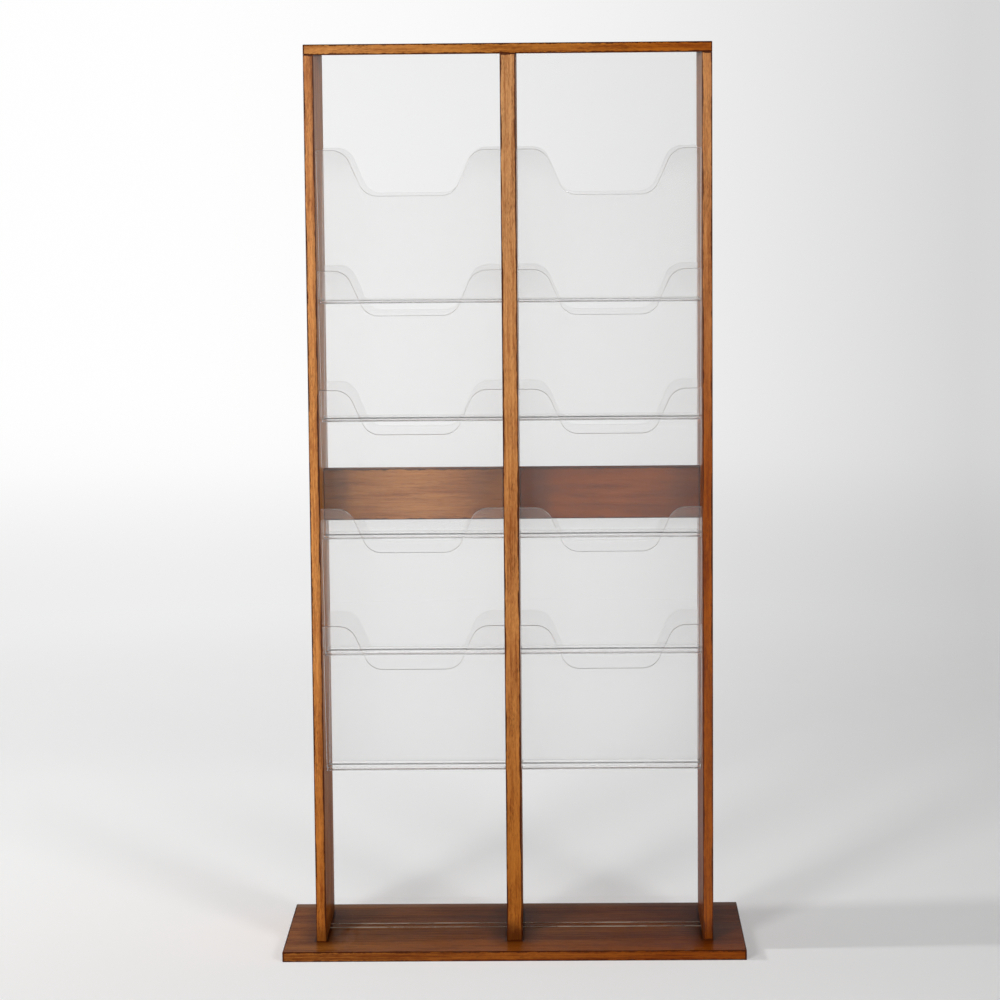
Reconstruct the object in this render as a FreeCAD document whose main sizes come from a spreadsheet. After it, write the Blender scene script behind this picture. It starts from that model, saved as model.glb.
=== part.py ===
import FreeCAD, Part

import math
import os

import Sketcher
from FreeCAD import Placement, Rotation, Vector

# A two-sided display rack for periodicals, in millimetres.
#
# Three upright boards stand on edge on a wide base plate, and a top rail lies on their upper ends.
# A cross rail joins them at half height in each of the two bays. A clear sheet runs in grooves in
# front of the cross rail, and another behind it. Each sheet carries a stack of bent clear pockets,
# whose fronts lean outwards and have a wide finger notch. The front pockets face -Y.
#
# The origin is the centre of the base plate's underside, with +X to the right and +Z up.

# Driving sizes: name, value in millimetres, meaning.
SIZES = [
    ("base_width", 816, "base plate, side to side"),
    ("base_depth", 355, "base plate, front to back"),
    ("base_thick", 18, "base plate stock"),
    ("front_overhang", 72, "base plate in front of the uprights"),
    ("upright_height", 1564, "uprights, from the base plate to the top rail"),
    ("upright_depth", 235, "uprights and top rail, front to back"),
    ("side_thick", 18, "side upright stock"),
    ("centre_thick", 27, "centre upright stock"),
    ("bay_width", 321, "clear width between two uprights"),
    ("top_thick", 18, "top rail stock"),
    ("rail_thick", 27, "cross rail stock"),
    ("rail_height", 91, "cross rail, bottom to top"),
    ("rail_rise", 743, "cross rail's underside above the base plate"),
    ("board_ease", 1.2, "rounding of the boards' edges"),
    ("sheet_thick", 3, "clear sheet"),
    ("groove_depth", 3, "sheet grooves in the boards"),
    ("groove_play", 0.2, "gap between a sheet and each side of its groove"),
    ("pocket_first", 293.5, "lowest pocket's underside above the base plate"),
    ("pocket_pitch", 209, "from one pocket to the next one above"),
    ("pocket_rise", 269.5, "pocket's underside to its lip"),
    ("pocket_floor", 26, "sheet to the foot of the pocket's front"),
    ("pocket_mouth", 77, "sheet to the outside of the pocket's lip"),
    ("pocket_thick", 3, "pocket sheet"),
    ("blank_spare", 10, "height trimmed off a bent pocket's front"),
    ("pocket_play", 0.4, "gap between a pocket's end and the upright"),
    ("bend_radius", 6, "outside of the bend between a pocket's floor and front"),
    ("notch_flat", 111, "finger notch, width of its straight foot"),
    ("notch_mouth", 267, "finger notch, width between its rounded shoulders"),
    ("notch_depth", 80, "finger notch below the lip"),
    ("notch_radius", 33, "rounding of the finger notch's corners"),
    ("screw_length", 50, "base screw"),
    ("screw_shank", 4.5, "base screw's shank diameter"),
    ("screw_head", 9, "base screw's head diameter"),
    ("screw_point", 6, "base screw's point"),
    ("screw_sink", 0.5, "base screw's head above the underside of the base plate"),
    ("screw_spacing", 160, "between the two base screws of an upright"),
    ("screw_play", 0.1, "gap around a base screw"),
    ("recess_span", 5, "screwdriver recess across"),
    ("recess_width", 1.1, "screwdriver recess, width of an arm"),
    ("recess_depth", 1.8, "screwdriver recess into the head"),
    ("dowel_width", 8, "dowel diameter"),
    ("dowel_chamfer", 1, "chamfer on a dowel's ends"),
    ("dowel_play", 0.1, "gap around a dowel"),
    ("dowel_bite", 12, "depth of a dowel in the top rail or a side upright"),
    ("dowel_reach", 24, "depth of a dowel in an upright's top or a cross rail"),
    ("top_dowel_spacing", 160, "between the two dowels on top of an upright"),
    ("rail_dowel_spacing", 46, "between the two dowels in a cross rail's end"),
]

POCKETS_IN_A_STACK = 5
LEFT, RIGHT = -1, 1
FRONT, REAR = -1, 1
PAIR = (-1, 1)
SIDE_NAMES = {LEFT: "left", RIGHT: "right"}
FACE_NAMES = {FRONT: "front", REAR: "rear"}

# Places that several pieces share, as expressions on the sheet of sizes.
FRAME_Y = "(Sizes.front_overhang + (Sizes.upright_depth - Sizes.base_depth) / 2)"
BAY_X = "((Sizes.bay_width + Sizes.centre_thick) / 2)"
SIDE_X = "(Sizes.bay_width + (Sizes.centre_thick + Sizes.side_thick) / 2)"
TOP_WIDTH = "(2 * Sizes.bay_width + Sizes.centre_thick + 2 * Sizes.side_thick)"
SHEET_Y = "((Sizes.rail_thick + Sizes.sheet_thick) / 2)"
GROOVE_WIDTH = "(Sizes.sheet_thick + 2 * Sizes.groove_play)"
RAIL_DOWEL_Z = "(Sizes.rail_rise + Sizes.rail_height / 2)"
DOWEL_HOLE = "(Sizes.dowel_width + 2 * Sizes.dowel_play)"
SCREW_HOLE = "(Sizes.screw_shank + 2 * Sizes.screw_play)"
SCREW_HEAD_HOLE = "(Sizes.screw_head + 2 * Sizes.screw_sink + 2 * Sizes.screw_play)"
SCREW_BITE = "(Sizes.screw_sink + Sizes.screw_length - Sizes.base_thick + Sizes.screw_play)"
TALLEST_NOTCH_ROUND = ("((Sizes.notch_mouth - Sizes.notch_flat) ^ 2 / 4 + Sizes.notch_depth ^ 2)"
                       " / (4 * Sizes.notch_depth)")
LIP_WIDTH = ("(Sizes.pocket_thick * sqrt(1 + ((Sizes.pocket_mouth - Sizes.pocket_floor)"
             " / Sizes.pocket_rise) ^ 2))")


def make_size_sheet(doc):
    """The spreadsheet that holds the driving sizes."""
    sheet = doc.addObject("Spreadsheet::Sheet", "Sizes")
    for row, (alias, number, meaning) in enumerate(SIZES, 1):
        sheet.set(f"A{row}", meaning)
        sheet.set(f"B{row}", str(number))
        sheet.setAlias(f"B{row}", alias)
    doc.recompute()


def place(piece, x, y, z, turn=0):
    """Puts a piece at expressions x, y and z, turned about Z by so many degrees."""
    piece.Placement = Placement(Vector(), Rotation(Vector(0, 0, 1), turn))
    piece.setExpression(".Placement.Base.x", x)
    piece.setExpression(".Placement.Base.y", y)
    piece.setExpression(".Placement.Base.z", z)


def add_body(doc, label):
    """An empty body with a label of its own."""
    body = doc.addObject("PartDesign::Body", label)
    body.Label = label
    return body


def add_sketch(body, name, plane, height="0"):
    """A sketch parallel to one of the body's own planes, at a height above it."""
    sketch = body.newObject("Sketcher::SketchObject", f"{body.Label}_{name}")
    support = [item for item in body.Origin.OriginFeatures if item.Role == plane]
    sketch.AttachmentSupport = [(support[0], "")]
    sketch.MapMode = "FlatFace"
    sketch.setExpression(".AttachmentOffset.Base.z", height)
    return sketch


def measure(sketch, kind, places, expression):
    """Adds a dimension of the sketch and binds it to an expression."""
    index = sketch.addConstraint(Sketcher.Constraint(kind, *places, 1.0))
    sketch.setExpression(f"Constraints[{index}]", expression)


def draw_polygon(sketch, points):
    """Draws a closed outline through points, each an x and a y expression."""
    first = sketch.GeometryCount
    count = len(points)
    for corner in range(count):
        start = Vector(corner, corner * corner)
        end = Vector((corner + 1) % count, ((corner + 1) % count) ** 2)
        sketch.addGeometry(Part.LineSegment(start, end))
    for corner, (x, y) in enumerate(points):
        line = first + corner
        before = first + (corner - 1) % count
        sketch.addConstraint(Sketcher.Constraint("Coincident", before, 2, line, 1))
        measure(sketch, "DistanceX", (-1, 1, line, 1), x)
        measure(sketch, "DistanceY", (-1, 1, line, 1), y)


def draw_rectangle(sketch, x, y, width, height):
    """Draws a rectangle about the centre x, y."""
    left = f"{x} - {width} / 2"
    right = f"{x} + {width} / 2"
    low = f"{y} - {height} / 2"
    high = f"{y} + {height} / 2"
    draw_polygon(sketch, [(left, low), (right, low), (right, high), (left, high)])


def draw_circle(sketch, x, y, diameter):
    """Draws a circle about x, y."""
    circle = sketch.addGeometry(Part.Circle(Vector(1, 1), Vector(0, 0, 1), 1))
    measure(sketch, "DistanceX", (-1, 1, circle, 3), x)
    measure(sketch, "DistanceY", (-1, 1, circle, 3), y)
    measure(sketch, "Diameter", (circle,), diameter)


def add_pad(body, sketch, length, symmetric=False):
    """Pads a sketch along its normal, or half to each side."""
    pad = body.newObject("PartDesign::Pad", f"{sketch.Name}_pad")
    pad.Profile = sketch
    pad.SideType = "Symmetric" if symmetric else "One side"
    pad.setExpression("Length", length)
    return pad


def add_pocket(body, sketch, length=None, along_normal=False):
    """Cuts a sketch out of the body, to a length or, without one, right through both ways."""
    before = body.Shape.Volume
    pocket = body.newObject("PartDesign::Pocket", f"{sketch.Name}_cut")
    pocket.Profile = sketch
    pocket.Reversed = along_normal
    if length is None:
        pocket.SideType = "Symmetric"
        pocket.Type = "ThroughAll"
    else:
        pocket.setExpression("Length", length)
    body.Document.recompute()
    if body.Shape.Volume >= before:
        raise RuntimeError(f"{pocket.Name} cuts nothing")
    return pocket


def add_fillet(body, edges_wanted, radius):
    """Rounds the edges of the body's last feature that pass a test."""
    body.Document.recompute()
    base = body.Tip
    names = [f"Edge{i}" for i, edge in enumerate(base.Shape.Edges, 1) if edges_wanted(edge)]
    fillet = body.newObject("PartDesign::Fillet", f"{base.Name}_round")
    fillet.Base = (base, names)
    fillet.setExpression("Radius", radius)
    body.Document.recompute()
    return fillet


def runs_along(edge, axis):
    """Whether a straight edge is parallel to an axis."""
    span = edge.Vertexes[-1].Point - edge.Vertexes[0].Point
    return abs(abs(span.dot(axis)) - edge.Length) < 1e-6


def add_board(doc, label, width, depth, height, edges_wanted):
    """A board standing on the middle of its own XY plane, with some of its edges rounded."""
    body = add_body(doc, label)
    section = add_sketch(body, "section", "XY_Plane")
    draw_rectangle(section, "0", "0", width, depth)
    add_pad(body, section, height)
    add_fillet(body, edges_wanted, "Sizes.board_ease")
    return body


def upright_edges(edge):
    """The edges that run up a board."""
    return runs_along(edge, Vector(0, 0, 1))


def long_edges(edge):
    """The edges that run along X."""
    return runs_along(edge, Vector(1, 0, 0))


def every_edge(edge):
    """All edges of a board."""
    return edge.Length > 0


def make_base_plate(doc):
    """The base plate, with sheet grooves on top and countersunk screw holes from below."""
    body = add_board(doc, "base_plate", "Sizes.base_width", "Sizes.base_depth", "Sizes.base_thick",
                     every_edge)
    grooves = add_sketch(body, "grooves", "XY_Plane", "Sizes.base_thick")
    draw_sheet_grooves(grooves, FRAME_Y)
    add_pocket(body, grooves, "Sizes.groove_depth")

    holes = add_sketch(body, "screw_holes", "XY_Plane")
    for x, y in upright_pairs("Sizes.screw_spacing", FRAME_Y):
        draw_circle(holes, x, y, SCREW_HOLE)
    doc.recompute()
    before = body.Shape.Volume
    hole = body.newObject("PartDesign::Hole", "base_plate_screw_hole")
    hole.Profile = holes
    doc.recompute()
    hole.Reversed = True
    hole.DepthType = "ThroughAll"
    hole.HoleCutType = "Countersink"
    hole.HoleCutCustomValues = True
    hole.HoleCutCountersinkAngle = 90
    hole.setExpression("Diameter", SCREW_HOLE)
    hole.setExpression("HoleCutDiameter", SCREW_HEAD_HOLE)
    doc.recompute()
    if body.Shape.Volume >= before:
        raise RuntimeError("the screw holes cut nothing")
    return body


def draw_sheet_grooves(sketch, middle_y):
    """Draws the four sheet grooves of a horizontal board, two in each bay."""
    for side in (LEFT, RIGHT):
        for face in (FRONT, REAR):
            draw_rectangle(sketch, f"{side} * {BAY_X}", f"{middle_y} + {face} * {SHEET_Y}",
                           "(Sizes.bay_width + 2 * Sizes.groove_depth)", GROOVE_WIDTH)


def upright_pairs(spacing, middle_y):
    """Two places on the foot or top of each upright, as x and y expressions."""
    middles = (f"{LEFT} * {SIDE_X}", "0", f"{RIGHT} * {SIDE_X}")
    return [(x, f"{middle_y} + {end} * {spacing} / 2") for x in middles for end in PAIR]


def cut_upright(body, thick, grooved_faces):
    """Cuts an upright's sheet grooves, and the holes in its two ends."""
    grooves = add_sketch(body, "grooves", "XY_Plane")
    for side in grooved_faces:
        for face in (FRONT, REAR):
            draw_rectangle(grooves, f"{side} * ({thick} - Sizes.groove_depth) / 2", f"{face} * {SHEET_Y}",
                           "Sizes.groove_depth", GROOVE_WIDTH)
    add_pocket(body, grooves)

    screw_holes = add_sketch(body, "screw_holes", "XY_Plane")
    dowel_holes = add_sketch(body, "dowel_holes", "XY_Plane", "Sizes.upright_height")
    for end in PAIR:
        draw_circle(screw_holes, "0", f"{end} * Sizes.screw_spacing / 2", SCREW_HOLE)
        draw_circle(dowel_holes, "0", f"{end} * Sizes.top_dowel_spacing / 2", DOWEL_HOLE)
    add_pocket(body, screw_holes, SCREW_BITE, along_normal=True)
    add_pocket(body, dowel_holes, "Sizes.dowel_reach + Sizes.dowel_play")


def make_side_upright(doc, side):
    """A side upright. Its inner face is grooved, and takes the cross rail's dowels in blind holes."""
    body = add_board(doc, f"{SIDE_NAMES[side]}_upright", "Sizes.side_thick", "Sizes.upright_depth",
                     "Sizes.upright_height", upright_edges)
    cut_upright(body, "Sizes.side_thick", [RIGHT])
    rail_holes = add_sketch(body, "rail_holes", "YZ_Plane", "Sizes.side_thick / 2")
    for end in PAIR:
        draw_circle(rail_holes, "0", f"{RAIL_DOWEL_Z} + {end} * Sizes.rail_dowel_spacing / 2", DOWEL_HOLE)
    add_pocket(body, rail_holes, "Sizes.dowel_bite + Sizes.dowel_play")
    place(body, f"{side} * {SIDE_X}", FRAME_Y, "Sizes.base_thick", turn=0 if side == LEFT else 180)
    return body


def make_centre_upright(doc):
    """The centre upright, grooved on both faces, with the cross rails' dowels right through it."""
    body = add_board(doc, "centre_upright", "Sizes.centre_thick", "Sizes.upright_depth",
                     "Sizes.upright_height", upright_edges)
    cut_upright(body, "Sizes.centre_thick", [LEFT, RIGHT])
    rail_holes = add_sketch(body, "rail_holes", "YZ_Plane")
    for end in PAIR:
        draw_circle(rail_holes, "0", f"{RAIL_DOWEL_Z} + {end} * Sizes.rail_dowel_spacing / 2", DOWEL_HOLE)
    add_pocket(body, rail_holes)
    place(body, "0", FRAME_Y, "Sizes.base_thick")
    return body


def make_top_rail(doc):
    """The top rail, with sheet grooves and dowel holes in its underside."""
    body = add_board(doc, "top_rail", TOP_WIDTH, "Sizes.upright_depth", "Sizes.top_thick", every_edge)
    grooves = add_sketch(body, "grooves", "XY_Plane")
    draw_sheet_grooves(grooves, "0")
    add_pocket(body, grooves, "Sizes.groove_depth", along_normal=True)
    dowel_holes = add_sketch(body, "dowel_holes", "XY_Plane")
    for x, y in upright_pairs("Sizes.top_dowel_spacing", "0"):
        draw_circle(dowel_holes, x, y, DOWEL_HOLE)
    add_pocket(body, dowel_holes, "Sizes.dowel_bite + Sizes.dowel_play", along_normal=True)
    place(body, "0", FRAME_Y, "Sizes.base_thick + Sizes.upright_height")
    return body


def make_cross_rail(doc, side):
    """A cross rail between two uprights, with two dowel holes in each end."""
    body = add_board(doc, f"{SIDE_NAMES[side]}_cross_rail", "Sizes.bay_width", "Sizes.rail_thick",
                     "Sizes.rail_height", long_edges)
    for end in PAIR:
        name = f"{SIDE_NAMES[end]}_dowel_holes"
        holes = add_sketch(body, name, "YZ_Plane", f"{end} * Sizes.bay_width / 2")
        for row in PAIR:
            draw_circle(holes, "0", f"(Sizes.rail_height + {row} * Sizes.rail_dowel_spacing) / 2", DOWEL_HOLE)
        add_pocket(body, holes, "Sizes.dowel_reach + Sizes.dowel_play", along_normal=(end == LEFT))
    place(body, f"{side} * {BAY_X}", FRAME_Y, "Sizes.base_thick + Sizes.rail_rise")
    return body


def make_clear_sheet(doc, side, face):
    """A clear sheet that fills a bay from the base plate's groove to the top rail's."""
    label = f"{FACE_NAMES[face]}_{SIDE_NAMES[side]}_sheet"
    sheet = doc.addObject("Part::Box", label)
    sheet.Label = label
    sheet.setExpression("Length", "Sizes.bay_width + 2 * (Sizes.groove_depth - Sizes.groove_play)")
    sheet.setExpression("Width", "Sizes.sheet_thick")
    sheet.setExpression("Height", "Sizes.upright_height + 2 * Sizes.groove_depth - Sizes.groove_play")
    place(sheet, f"{side} * {BAY_X} - Sizes.bay_width / 2 - Sizes.groove_depth + Sizes.groove_play",
          f"{FRAME_Y} + {face} * {SHEET_Y} - Sizes.sheet_thick / 2", "Sizes.base_thick - Sizes.groove_depth")
    return sheet


def make_pocket(doc, side, face, number):
    """A pocket bent from one clear sheet: a narrow floor, and a notched front that leans outwards."""
    body = add_body(doc, f"{FACE_NAMES[face]}_{SIDE_NAMES[side]}_pocket_{number}")

    # The section starts at the floor's rear edge, on the clear sheet at Y = 0. The blank's front is
    # taller than the finished one, which trim_front cuts to its outline.
    lean = "(Sizes.pocket_mouth - Sizes.pocket_floor) / Sizes.pocket_rise"
    blank_rise = "(Sizes.pocket_rise + Sizes.blank_spare)"
    blank_mouth = f"(Sizes.pocket_floor + {lean} * {blank_rise})"
    section = add_sketch(body, "section", "YZ_Plane")
    draw_polygon(section, [
        ("0", "0"),
        ("-Sizes.pocket_floor", "0"),
        (f"-{blank_mouth}", blank_rise),
        (f"-{blank_mouth} + {LIP_WIDTH}", blank_rise),
        (f"-Sizes.pocket_floor - {lean} * Sizes.pocket_thick + {LIP_WIDTH}", "Sizes.pocket_thick"),
        ("0", "Sizes.pocket_thick"),
    ])
    add_pad(body, section, "Sizes.bay_width - 2 * Sizes.pocket_play", symmetric=True)
    thick = doc.Sizes.pocket_thick

    def bend_at(height):
        """A test for the bend's edge at a height above the floor's underside."""
        return lambda edge: (long_edges(edge) and abs(edge.BoundBox.Center.z - height) < 1e-6
                             and edge.BoundBox.YMax < -thick)

    add_fillet(body, bend_at(thick), "Sizes.bend_radius - Sizes.pocket_thick")
    add_fillet(body, bend_at(0), "Sizes.bend_radius")
    trim_front(body)
    place(body, f"{side} * {BAY_X}", f"{FRAME_Y} + {face} * (Sizes.rail_thick / 2 + Sizes.sheet_thick)",
          f"Sizes.base_thick + Sizes.pocket_first + {number - 1} * Sizes.pocket_pitch",
          turn=0 if face == FRONT else 180)
    return body


def trim_front(body):
    """Cuts a pocket's front to its lip and finger notch, whose sides are arcs joined by a slant."""
    sizes = body.Document.Sizes
    flat, mouth = sizes.notch_flat / 2, sizes.notch_mouth / 2
    lip, foot = sizes.pocket_rise, sizes.pocket_rise - sizes.notch_depth
    across = mouth - flat
    rounding = min(sizes.notch_radius, (across ** 2 + sizes.notch_depth ** 2) / (4 * sizes.notch_depth))
    up = sizes.notch_depth - 2 * rounding
    slope = math.atan2(up, across) + math.asin(min(1, 2 * rounding / math.hypot(across, up)))
    edge_x, edge_z = sizes.bay_width / 2, lip + 2 * sizes.blank_spare
    upward = Vector(0, 1, 0)

    outline = add_sketch(body, "outline", "XZ_Plane")
    floor = outline.addGeometry(Part.LineSegment(Vector(-flat, foot), Vector(flat, foot)))
    top = outline.addGeometry(Part.LineSegment(Vector(-edge_x, edge_z), Vector(edge_x, edge_z)))
    for line in (floor, top):
        outline.addConstraint(Sketcher.Constraint("Horizontal", line))
    measure(outline, "DistanceY", (-1, 1, floor, 1), "Sizes.pocket_rise - Sizes.notch_depth")
    measure(outline, "DistanceY", (-1, 1, top, 1), "Sizes.pocket_rise + 2 * Sizes.blank_spare")

    for side in (LEFT, RIGHT):
        # Ends of the lines on this side, and of the arcs, which always run counter-clockwise.
        near, far = (1, 2) if side == LEFT else (2, 1)
        low = Vector(side * flat, foot + rounding)
        high = Vector(side * mouth, lip - rounding)
        reach = Vector(side * math.sin(slope), -math.cos(slope)) * rounding
        low_arc = add_arc(outline, low, rounding, -math.pi / 2, side * slope)
        high_arc = add_arc(outline, high, rounding, math.pi / 2, side * slope)
        slant = outline.addGeometry(Part.LineSegment(low + reach, high - reach))
        corner = Vector(side * edge_x, lip)
        shoulder = outline.addGeometry(Part.LineSegment(high + upward * rounding, corner))
        edge = outline.addGeometry(Part.LineSegment(corner, Vector(side * edge_x, edge_z)))
        outline.addConstraint([
            Sketcher.Constraint("Tangent", floor, near, low_arc, far),
            Sketcher.Constraint("Tangent", low_arc, near, slant, 1),
            Sketcher.Constraint("Tangent", slant, 2, high_arc, near),
            Sketcher.Constraint("Tangent", high_arc, far, shoulder, 1),
            Sketcher.Constraint("Coincident", shoulder, 2, edge, 1),
            Sketcher.Constraint("Coincident", edge, 2, top, near),
            Sketcher.Constraint("Horizontal", shoulder),
            Sketcher.Constraint("Vertical", edge),
        ])
        measure(outline, "DistanceX", (-1, 1, floor, near), f"{side} * Sizes.notch_flat / 2")
        measure(outline, "DistanceX", (-1, 1, shoulder, 1), f"{side} * Sizes.notch_mouth / 2")
        measure(outline, "DistanceY", (-1, 1, shoulder, 1), "Sizes.pocket_rise")
        measure(outline, "DistanceX", (-1, 1, edge, 1), f"{side} * Sizes.bay_width / 2")
        measure(outline, "Radius", (low_arc,), f"min(Sizes.notch_radius; {TALLEST_NOTCH_ROUND})")
        measure(outline, "Radius", (high_arc,), f"min(Sizes.notch_radius; {TALLEST_NOTCH_ROUND})")
    add_pocket(body, outline)


def add_arc(sketch, centre, radius, start, turn):
    """Adds an arc from an angle through a turn, which may be negative."""
    circle = Part.Circle(centre, Vector(0, 0, 1), radius)
    return sketch.addGeometry(Part.ArcOfCircle(circle, min(start, start + turn), max(start, start + turn)))


def add_profile(doc, name, points):
    """A half section in the XZ plane of a piece that is turned about Z."""
    sketch = doc.addObject("Sketcher::SketchObject", name)
    sketch.Placement = Placement(Vector(), Rotation(Vector(1, 0, 0), 90))
    draw_polygon(sketch, points)
    return sketch


def add_turned(doc, name, profile, x, y, z, upright=True):
    """A piece turned from a profile, with its foot at x, y and z, pointing up or along +X."""
    piece = doc.addObject("Part::Revolution", name)
    piece.Source = profile
    piece.Axis = Vector(0, 0, 1)
    piece.Angle = 360
    piece.Solid = True
    place(piece, x, y, z)
    if not upright:
        piece.Placement.Rotation = Rotation(Vector(0, 1, 0), 90)
    return piece


def add_group(doc, label, pieces):
    """Separate solids that share one node."""
    group = doc.addObject("Part::Compound", label)
    group.Label = label
    group.Links = pieces
    return group


def make_base_screws(doc):
    """Countersunk wood screws up through the base plate, two into the foot of each upright."""
    profile = add_profile(doc, "screw_profile", [
        ("0", "0"),
        ("Sizes.screw_head / 2", "0"),
        ("Sizes.screw_shank / 2", "(Sizes.screw_head - Sizes.screw_shank) / 2"),
        ("Sizes.screw_shank / 2", "Sizes.screw_length - Sizes.screw_point"),
        ("0", "Sizes.screw_length"),
    ])
    screws = []
    for number, (x, y) in enumerate(upright_pairs("Sizes.screw_spacing", FRAME_Y), 1):
        blank = add_turned(doc, f"screw_blank_{number}", profile, x, y, "Sizes.screw_sink")
        screws.append(cut_cross_recess(doc, blank, number, x, y))
    return add_group(doc, "base_screws", screws)


def cut_cross_recess(doc, blank, number, x, y):
    """Cuts a cross-shaped screwdriver recess into a screw's head."""
    arms = []
    for name, length, width in (("across", "Sizes.recess_span", "Sizes.recess_width"),
                                ("along", "Sizes.recess_width", "Sizes.recess_span")):
        arm = doc.addObject("Part::Box", f"recess_{name}_{number}")
        arm.setExpression("Length", length)
        arm.setExpression("Width", width)
        arm.setExpression("Height", "Sizes.recess_depth")
        place(arm, f"{x} - {length} / 2", f"{y} - {width} / 2", "Sizes.screw_sink")
        arms.append(arm)
    cross = doc.addObject("Part::Fuse", f"recess_{number}")
    cross.Base, cross.Tool = arms
    screw = doc.addObject("Part::Cut", f"screw_{number}")
    screw.Base = blank
    screw.Tool = cross
    return screw


def add_dowel_profile(doc, name, length):
    """A dowel's half section, with chamfered ends."""
    edge = "Sizes.dowel_width / 2"
    return add_profile(doc, name, [
        ("0", "0"),
        (f"{edge} - Sizes.dowel_chamfer", "0"),
        (edge, "Sizes.dowel_chamfer"),
        (edge, f"{length} - Sizes.dowel_chamfer"),
        (f"{edge} - Sizes.dowel_chamfer", length),
        ("0", length),
    ])


def make_top_dowels(doc):
    """Dowels from the top of each upright into the top rail."""
    profile = add_dowel_profile(doc, "short_dowel_profile", "(Sizes.dowel_reach + Sizes.dowel_bite)")
    foot = "Sizes.base_thick + Sizes.upright_height - Sizes.dowel_reach"
    dowels = [add_turned(doc, f"top_dowel_{number}", profile, x, y, foot)
              for number, (x, y) in enumerate(upright_pairs("Sizes.top_dowel_spacing", FRAME_Y), 1)]
    return add_group(doc, "top_dowels", dowels), profile


def make_outer_rail_dowels(doc, profile):
    """Dowels from the side uprights into the outer end of each cross rail."""
    starts = {LEFT: f"{LEFT} * ({SIDE_X} - Sizes.side_thick / 2) - Sizes.dowel_bite",
              RIGHT: f"{RIGHT} * ({SIDE_X} - Sizes.side_thick / 2) - Sizes.dowel_reach"}
    dowels = [add_turned(doc, f"{SIDE_NAMES[side]}_rail_dowel_{row}", profile, starts[side], FRAME_Y,
                         rail_dowel_height(row), upright=False)
              for side in (LEFT, RIGHT) for row in PAIR]
    return add_group(doc, "outer_rail_dowels", dowels)


def make_centre_rail_dowels(doc):
    """Dowels through the centre upright into both cross rails."""
    profile = add_dowel_profile(doc, "long_dowel_profile", "(Sizes.centre_thick + 2 * Sizes.dowel_reach)")
    start = "-Sizes.centre_thick / 2 - Sizes.dowel_reach"
    dowels = [add_turned(doc, f"centre_rail_dowel_{row}", profile, start, FRAME_Y, rail_dowel_height(row),
                         upright=False)
              for row in PAIR]
    return add_group(doc, "centre_rail_dowels", dowels)


def rail_dowel_height(row):
    """The height of the lower or upper dowel of a cross rail."""
    return f"Sizes.base_thick + {RAIL_DOWEL_Z} + {row} * Sizes.rail_dowel_spacing / 2"


def make_rack(doc):
    """Makes every sub-part of the rack."""
    sub_parts = [make_base_plate(doc), make_centre_upright(doc), make_top_rail(doc)]
    for side in (LEFT, RIGHT):
        sub_parts.append(make_side_upright(doc, side))
        sub_parts.append(make_cross_rail(doc, side))
        for face in (FRONT, REAR):
            sub_parts.append(make_clear_sheet(doc, side, face))
            for number in range(1, POCKETS_IN_A_STACK + 1):
                sub_parts.append(make_pocket(doc, side, face, number))
    sub_parts.append(make_base_screws(doc))
    top_dowels, short_profile = make_top_dowels(doc)
    sub_parts.append(top_dowels)
    sub_parts.append(make_outer_rail_dowels(doc, short_profile))
    sub_parts.append(make_centre_rail_dowels(doc))
    doc.recompute()
    return sub_parts


def check(doc, sub_parts):
    """Stops if any feature failed or any sub-part is null or invalid."""
    for item in doc.Objects:
        if "Invalid" in item.State or "Error" in item.State:
            raise RuntimeError(f"{item.Label} failed: {item.State}")
    for piece in sub_parts:
        if piece.Shape.isNull() or not piece.Shape.isValid():
            raise RuntimeError(f"{piece.Label} has no valid shape")


def write(sub_parts):
    """Writes one STEP file for each sub-part."""
    os.makedirs("parts", exist_ok=True)
    for piece in sub_parts:
        piece.Shape.exportStep(f"parts/{piece.Label}.step")
        print(f"{piece.Label}: {len(piece.Shape.Solids)} solid(s), {piece.Shape.Volume:.0f} mm3")


document = FreeCAD.newDocument("display_rack")
make_size_sheet(document)
rack = make_rack(document)
check(document, rack)
write(rack)
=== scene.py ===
"""Dresses the two-sided periodical display rack: stained hardwood, clear bent pockets, and a pale studio."""

import logging
import math
from dataclasses import dataclass, field
from enum import Enum

import bmesh
import bpy
from mathutils import Matrix, Vector


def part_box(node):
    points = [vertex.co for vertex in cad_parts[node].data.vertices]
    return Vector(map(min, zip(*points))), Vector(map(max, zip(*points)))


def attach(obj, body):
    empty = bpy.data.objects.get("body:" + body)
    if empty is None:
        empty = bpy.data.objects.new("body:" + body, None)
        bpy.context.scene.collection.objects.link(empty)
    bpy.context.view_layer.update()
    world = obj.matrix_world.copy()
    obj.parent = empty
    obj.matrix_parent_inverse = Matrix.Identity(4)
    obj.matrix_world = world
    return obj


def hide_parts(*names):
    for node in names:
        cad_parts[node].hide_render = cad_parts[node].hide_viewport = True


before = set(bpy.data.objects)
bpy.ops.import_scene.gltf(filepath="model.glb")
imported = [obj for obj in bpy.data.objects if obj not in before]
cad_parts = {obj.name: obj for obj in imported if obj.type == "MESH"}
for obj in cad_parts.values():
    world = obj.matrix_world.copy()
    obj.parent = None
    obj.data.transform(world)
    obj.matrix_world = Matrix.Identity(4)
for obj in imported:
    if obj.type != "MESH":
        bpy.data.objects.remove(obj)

MM = 0.001
BODY = "root"
LIP = "near_lip"
LIGHT_BOUNCES = 24
log = logging.getLogger("rack")


# ---------------------------------------------------------------------------------------------
# Node trees
# ---------------------------------------------------------------------------------------------


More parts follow.
